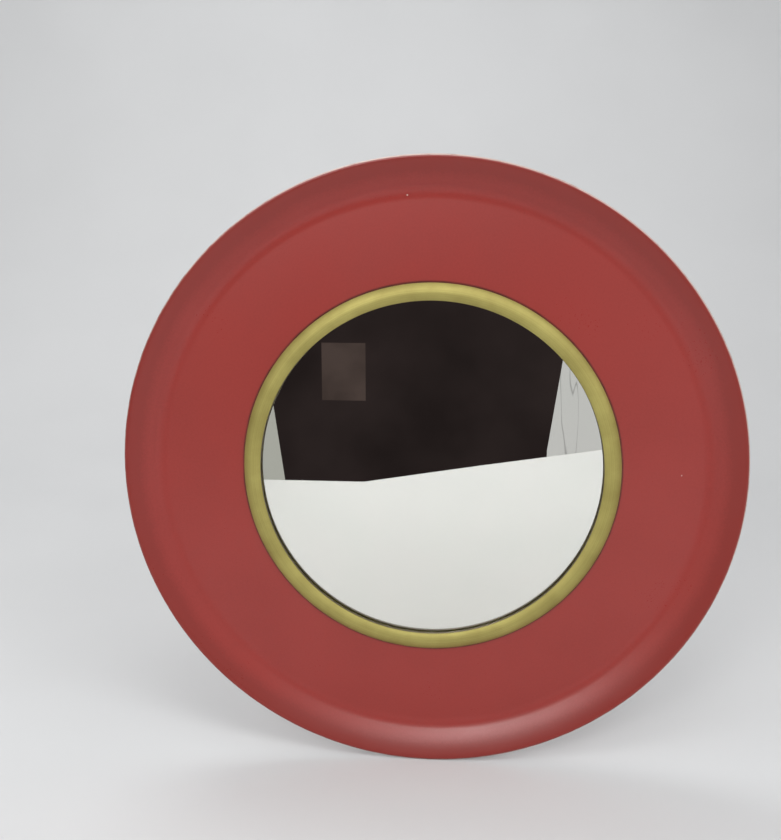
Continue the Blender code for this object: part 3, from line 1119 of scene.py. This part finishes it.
def cross_recess(s):
    """Two crossed slots that narrow as they go down."""
    mesh = bpy.data.meshes.new("recess")
    bm = bmesh.new()
    half, wide = s.recess_span / 2, s.recess_width / 2
    # Height, then the share of the recess's span and of its width there
    mouth = (s.screw_head_height + 0.5 * MM, 1.1, 1.15)
    bottom = (s.screw_head_height - s.recess_depth, 0.45, 0.6)
    upper, lower = (
        [bm.verts.new((x, y, height)) for x, y in cross_outline(half * span, wide * width)]
        for height, span, width in (mouth, bottom)
    )
    for i, corner in enumerate(upper):
        j = (i + 1) % len(upper)
        bm.faces.new((corner, upper[j], lower[j], lower[i]))
    bm.faces.new(upper)
    bm.faces.new(reversed(lower))
    bmesh.ops.recalc_face_normals(bm, faces=bm.faces)
    bm.to_mesh(mesh)
    bm.free()
    return add_object("recess", mesh)


def cross_outline(reach, half_width):
    """Corners of an upright cross: one arm's three corners, turned round four times."""
    arm = [(reach, -half_width), (reach, half_width), (half_width, half_width)]
    outline = []
    for _ in range(4):
        outline += arm
        arm = [(-y, x) for x, y in arm]
    return outline


class MIRROR_OT_hanger(Operator):
    """Makes the hanger plate with its rolled eye, and the D ring that swings in it"""

    bl_idname = "wall_mirror.hanger"
    bl_label = "Hanger"

    def execute(self, context):
        s = context.scene.wall_mirror_sizes
        zinc = kept_material(zinc_plate, context)
        ring_low, ring_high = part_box("hanger_ring")
        hinge = Vector((0, (ring_low.y + ring_high.y) / 2, ring_high.z - s.wire_radius))
        plate = hanger_plate(s)
        plate = combined("hanger_plate_steel", plate, rolled_eye(s, hinge), "UNION")
        paint(plate, zinc)
        fit(plate, ROOT, "zinc_steel", "hanger_plate")
        wire = d_ring(s, hinge, ring_high.x - s.wire_radius)
        paint(wire, zinc)
        fit(wire, "hanger_ring", "zinc_steel", "hanger_ring")
        return {"FINISHED"}


def hanger_plate(s):
    """Wide plate with round ends and two screw holes."""
    low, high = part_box("hanger_plate")
    screws = [middle_of(n) for n in HANGER_SCREWS]
    middle_z = screws[0].z
    top = 2 * middle_z - low.z
    end = (top - low.z) / 2
    half = high.x - end
    right = arc(half, 0, end, -QUARTER, QUARTER, 24)
    left = arc(-half, 0, end, QUARTER, 3 * QUARTER, 24)
    holes = [circle_outline(p.x, 0, s.pilot_radius, s.small_steps) for p in screws]
    outlines = [right + left, *holes]
    middle = Matrix.Translation((0, low.y + s.strip_thickness / 2, middle_z))
    place = middle @ Matrix.Rotation(QUARTER, 4, "X")
    return stamped_plate("hanger_plate_blank", outlines, s.strip_thickness, s.plate_arris, place)


EYE_STOP = math.radians(30)  # the rolled strip stops this far short of the eye's bottom
EYE_ROOT = 3 * MM  # how far the strip runs down into the plate below the hinge
EYE_ARRIS = 0.12 * MM


def rolled_eye(s, hinge):
    """Strip that leaves the plate upwards, goes back round the wire and stops short."""
    inner_radius = s.wire_radius + s.pivot_clearance
    outer_radius = inner_radius + s.strip_thickness
    end = EYE_STOP - QUARTER
    outer = arc(0, 0, outer_radius, math.pi, end, 36)
    inner = arc(0, 0, inner_radius, end, math.pi, 36)
    foot = [(-inner_radius, -EYE_ROOT), (-outer_radius, -EYE_ROOT)]
    turn = Matrix(((0, 0, 1, 0), (1, 0, 0, 0), (0, 1, 0, 0), (0, 0, 0, 1)))
    place = Matrix.Translation(hinge) @ turn
    return stamped_plate("eye", [outer + inner + foot], s.eye_width, EYE_ARRIS, place)


def d_ring(s, hinge, half):
    """The bent wire ring in its place, hanging down from its hinge."""
    curve = bpy.data.curves.new("hanger_wire", "CURVE")
    curve.dimensions = "3D"
    curve.bevel_depth = s.wire_radius
    curve.bevel_resolution = 6
    add_outline(curve, wire_route(s, half))
    source = add_object("hanger_wire_source", curve)
    source.matrix_world = Matrix.Translation(hinge) @ Matrix.Rotation(QUARTER, 4, "X")
    return finished("hanger_wire", source)


class MIRROR_OT_wall_pads(Operator):
    """Makes the rubber pads that hold the mirror off the wall"""

    bl_idname = "wall_mirror.wall_pads"
    bl_label = "Wall pads"

    def execute(self, context):
        s = context.scene.wall_mirror_sizes
        rubber = kept_material(black_rubber, context)
        low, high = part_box(WALL_PADS[0])
        radius, height = (high.x - low.x) / 2, high.y - low.y
        foot = HOLD / 2
        section = [
            (0, 0),
            (radius, 0),
            (radius, foot),
            *arc(radius - s.pad_edge, height - s.pad_edge, s.pad_edge, 0, QUARTER, 6),
            (radius - s.pad_edge - HOLD, height),
            (0, height),
        ]
        pattern = upright_pattern(s, "pad", section)
        places = [(middle_of(n).x, low.y, middle_of(n).z) for n in WALL_PADS]
        pads = copies("wall_pads", pattern, places, rubber, (0, QUARTER), 5)
        bpy.data.objects.remove(pattern)
        fit(pads, ROOT, "black_rubber", *WALL_PADS)
        return {"FINISHED"}


class MIRROR_OT_stage(Operator):
    """Sets up the camera, the lamps, the pale sheet and the unlit room in front"""

    bl_idname = "wall_mirror.stage"
    bl_label = "Stage"

    def execute(self, context):
        st = context.scene.wall_mirror_stage
        context.scene.view_settings.view_transform = "Standard"
        camera = add_object("Camera", bpy.data.cameras.new("Camera"))
        camera.data.lens = st.lens
        camera.data.sensor_width = SENSOR_WIDTH
        camera.data.clip_start = 10 * MM
        aim(camera, CAMERA_PLACE, CAMERA_TARGET)
        context.scene.camera = camera
        for name, place, target, size, height in LAMPS:
            add_lamp(f"{name}_lamp", place, target, size, height, getattr(st, f"{name}_power"))
        surroundings(context, st)
        lay_paper(paper_material(st))
        hang_room(st)
        return {"FINISHED"}


SENSOR_WIDTH = 36  # millimetres
CAMERA_PLACE = (0.02998, -0.7306, 0.19566)
CAMERA_TARGET = (-0.02935, 0, 0.03782)

# Lamps: name, place, target, width and, for an oval one, height
LAMPS = (
    ("key", (-0.2, -1.37, 0.56), (-0.05, 0, 0), 0.9, 0.24),
    ("fill", (-0.35, -1.5, 0.9), (0, 0, 0), 0.4, None),
    ("high", (0, -0.9, 1.3), (0, 0, 0), 0.6, None),
    ("right", (0.6, -1.0, 1.1), (0, 0, 0), 0.6, None),
    ("side", (1.3, -0.9, 0.5), (0, 0, 0), 0.7, None),
    ("left", (-0.8, -0.9, 1.0), (0, 0, 0), 0.5, None),
    ("low", (-0.6, -1.3, 0.4), (0, 0, 0), 0.5, None),
    ("front", (0, -2.2, 0.34), (0, 0, 0), 0.9, None),
    ("top", (0, -0.2, 1.7), (0, 0, 0), 1.6, None),
    ("wall", (-0.5, 0.6, 1.6), (-0.2, 1.4, 0.2), 1.0, None),
)

# The paper, as x and y. Its front edge shows in the glass and runs askew
PAPER_SIDE = 3
PAPER_EDGE = [
    (-PAPER_SIDE, -0.77),
    (-0.132, -0.771),
    (0.042, -0.881),
    (0.251, -1.005),
    (PAPER_SIDE, -2.68),
]
PAPER_BEND = 0.7
PAPER_BEND_RADIUS = 0.9
PAPER_TOP = 2.6
APRON_FRONT = -2.9

# What the glass shows in front of the mirror, as x and z
ROOM_Y = -2.0
ROOM = [(-1.6, -1.6), (1.6, -1.6), (1.6, 1.0), (-1.6, 1.0)]
LEFT_CLOTH_Y = -0.82
LEFT_CLOTH = [
    (-0.9, -0.6),
    (-0.262, -0.6),
    (-0.262, -0.24),
    (-0.278, -0.12),
    (-0.31, 0.2),
    (-0.9, 0.2),
]
RIGHT_CLOTH_Y = -1.3
RIGHT_CLOTH = [
    (1.2, -0.7),
    (0.176, -0.7),
    (0.180, -0.30),
    (0.205, -0.12),
    (0.25, 0.3),
    (1.2, 0.3),
]
CUPBOARD_Y = -1.98
CUPBOARD = [(-0.375, -0.338), (-0.257, -0.338), (-0.257, -0.182), (-0.375, -0.182)]


def aim(obj, place, target):
    obj.location = place
    obj.rotation_euler = (Vector(target) - Vector(place)).to_track_quat("-Z", "Y").to_euler()


def add_lamp(name, place, target, size, height, watts):
    lamp = bpy.data.lights.new(name, "AREA")
    lamp.shape = "DISK"
    lamp.size = size
    if height is not None:
        lamp.shape = "ELLIPSE"
        lamp.size_y = height
    lamp.energy = watts
    aim(add_object(name, lamp), place, target)


def surroundings(context, st):
    """Pale light that grows towards the top, in front of a plain pale backdrop."""
    world = bpy.data.worlds.new("pale_surroundings")
    world.use_nodes = True
    tree = world.node_tree
    direction = add_node(tree, "ShaderNodeTexCoord", {}, "Generated")
    height = add_node(tree, "ShaderNodeSeparateXYZ", {"Vector": direction}, "Z")
    light = spread(tree, (height, (-0.2, 0.8), (st.low_sky, st.high_sky)))
    tree.links.new(light, tree.nodes["Background"].inputs["Strength"])
    tree.nodes["Background"].inputs["Color"].default_value = (1, 1, 1, 1)
    context.scene.world = world


def lay_paper(paper):
    """The floor, the curve behind it, and an apron in front that only the camera sees."""
    floor_z = CAD_LOW.z
    back = [(PAPER_SIDE, PAPER_BEND), (-PAPER_SIDE, PAPER_BEND)]
    stage_sheet("paper_floor", [(x, y, floor_z) for x, y in PAPER_EDGE + back], paper)
    stage_sweep(floor_z, paper)
    near = [(-PAPER_SIDE, APRON_FRONT), (PAPER_SIDE, APRON_FRONT)]
    corners = [(x, y, floor_z - MM) for x, y in PAPER_EDGE[::-1] + near]
    apron = stage_sheet("floor_apron", corners, paper)
    apron.visible_glossy = apron.visible_transmission = apron.visible_diffuse = False


def hang_room(st):
    """Sheets in front of the mirror that only the glass shows."""
    cupboard_tone = linear("#4F4340")
    for name, y, outline, material in (
        ("room", ROOM_Y, ROOM, glow_material("unlit_room", st.room, 260)),
        ("left_cloth", LEFT_CLOTH_Y, LEFT_CLOTH, cloth_material("left_cloth", st.left_cloth)),
        ("right_cloth", RIGHT_CLOTH_Y, RIGHT_CLOTH, cloth_material("right_cloth", st.right_cloth)),
        ("dim_cupboard", CUPBOARD_Y, CUPBOARD, glow_material("dim_cupboard", cupboard_tone, 120)),
    ):
        sheet = stage_sheet(name, [(x, y, z) for x, z in outline], material)
        sheet.visible_camera = sheet.visible_shadow = False


def stage_sheet(name, corners, material, faces=None):
    """A sheet of the stage: one face through all its corners unless faces are given."""
    mesh = bpy.data.meshes.new(name)
    mesh.from_pydata(corners, [], faces or [tuple(range(len(corners)))])
    sheet = add_object(name, mesh)
    paint(sheet, material)
    return sheet


def stage_sweep(floor_z, material):
    """Paper that curves from the floor up into a wall, so that no line shows between them."""
    radius = PAPER_BEND_RADIUS
    bend = arc(PAPER_BEND, floor_z + radius, radius, -QUARTER, 0, 24)
    profile = bend + [(PAPER_BEND + radius, PAPER_TOP)]
    corners = [(side, y, z) for y, z in profile for side in (-PAPER_SIDE, PAPER_SIDE)]
    faces = [(2 * i, 2 * i + 1, 2 * i + 3, 2 * i + 2) for i in range(len(profile) - 1)]
    sweep = stage_sheet("paper_sweep", corners, material, faces)
    sweep.data.shade_smooth()


def paper_material(st):
    """Matt pale background paper with a soft, barely uneven tone."""
    material, tree, shader, place = new_material("pale_paper")
    cloud = add_node(
        tree, "ShaderNodeTexNoise", {"Vector": place, "Scale": per_metre(300), "Detail": 2}
    )
    tone = layer(tree, st.paper, (spread(tree, (cloud, NOISE, UNIT)), darker(st.paper, 0.96)))
    tree.links.new(tone, shader.inputs["Base Color"])
    shader.inputs["Roughness"].default_value = 0.9
    return material


def darker(tone, share):
    return tuple(share * c for c in tone)


def light_itself(tree, shader, tone):
    """Makes a surface give its tone as even light, and reflect next to nothing."""
    tree.links.new(tone, shader.inputs["Emission Color"])
    shader.inputs["Emission Strength"].default_value = 1.0
    shader.inputs["Base Color"].default_value = (0, 0, 0, 1)
    shader.inputs["Specular IOR Level"].default_value = 0.0


def glow_material(name, tone, millimetres):
    """A dim surface that the glass shows: its own even light, with slow soft shapes."""
    material, tree, shader, place = new_material(name)
    shapes = add_node(
        tree, "ShaderNodeTexNoise", {"Vector": place, "Scale": per_metre(millimetres), "Detail": 3}
    )
    share = spread(tree, (shapes, (0.35, 0.7), UNIT))
    light_itself(tree, shader, layer(tree, tone, (share, darker(tone, 0.6))))
    shader.inputs["Roughness"].default_value = 1.0
    return material


def cloth_material(name, tone):
    """Pale cloth that gives its own even light, with painted shade along fine upright creases."""
    material, tree, shader, place = new_material(name)
    stretched = add_node(
        tree, "ShaderNodeMapping", {"Scale": (1, 1, 0.12), "Vector": place}, "Vector"
    )
    crease_noise = add_node(
        tree, "ShaderNodeTexNoise", {"Vector": stretched, "Scale": per_metre(45), "Detail": 2}
    )
    off_middle = add_node(tree, "ShaderNodeMath", {"operation": "SUBTRACT", 0: crease_noise, 1: 0.5})
    away = add_node(tree, "ShaderNodeMath", {"operation": "ABSOLUTE", 0: off_middle})
    # Painted shade: darker lines along the creases
    smooth = spread(tree, (away, (0, 0.012), UNIT))
    light_itself(tree, shader, layer(tree, darker(tone, 0.6), (smooth, tone)))
    return material


class VIEW3D_PT_wall_mirror(Panel):
    """Lists the mirror's pieces, sizes and finishes"""

    bl_label = "Round Wall Mirror"
    bl_space_type = "VIEW_3D"
    bl_region_type = "UI"
    bl_category = "Wall Mirror"

    def draw(self, context):
        layout = self.layout
        for operator in OPERATORS:
            layout.operator(operator.bl_idname)
        for heading, group in (
            ("Sizes", context.scene.wall_mirror_sizes),
            ("Finishes", context.scene.wall_mirror_finishes),
            ("Stage", context.scene.wall_mirror_stage),
        ):
            layout.label(text=heading)
            for name in group.__annotations__:
                layout.prop(group, name)


GROUPS = (WallMirrorSizes, WallMirrorFinishes, WallMirrorStage)
OPERATORS = (
    MIRROR_OT_dish,
    MIRROR_OT_ring,
    MIRROR_OT_glass,
    MIRROR_OT_backing,
    MIRROR_OT_turn_buttons,
    MIRROR_OT_screws,
    MIRROR_OT_hanger,
    MIRROR_OT_wall_pads,
    MIRROR_OT_stage,
)


def register():
    for cls in (*GROUPS, *OPERATORS, VIEW3D_PT_wall_mirror):
        bpy.utils.register_class(cls)
    bpy.types.Scene.wall_mirror_sizes = PointerProperty(type=WallMirrorSizes)
    bpy.types.Scene.wall_mirror_finishes = PointerProperty(type=WallMirrorFinishes)
    bpy.types.Scene.wall_mirror_stage = PointerProperty(type=WallMirrorStage)


def unregister():
    del bpy.types.Scene.wall_mirror_stage
    del bpy.types.Scene.wall_mirror_finishes
    del bpy.types.Scene.wall_mirror_sizes
    for cls in reversed((*GROUPS, *OPERATORS, VIEW3D_PT_wall_mirror)):
        bpy.utils.unregister_class(cls)


def main():
    register()
    for operator in OPERATORS:
        group, name = operator.bl_idname.split(".")
        getattr(getattr(bpy.ops, group), name)()


if __name__ == "__main__":
    main()
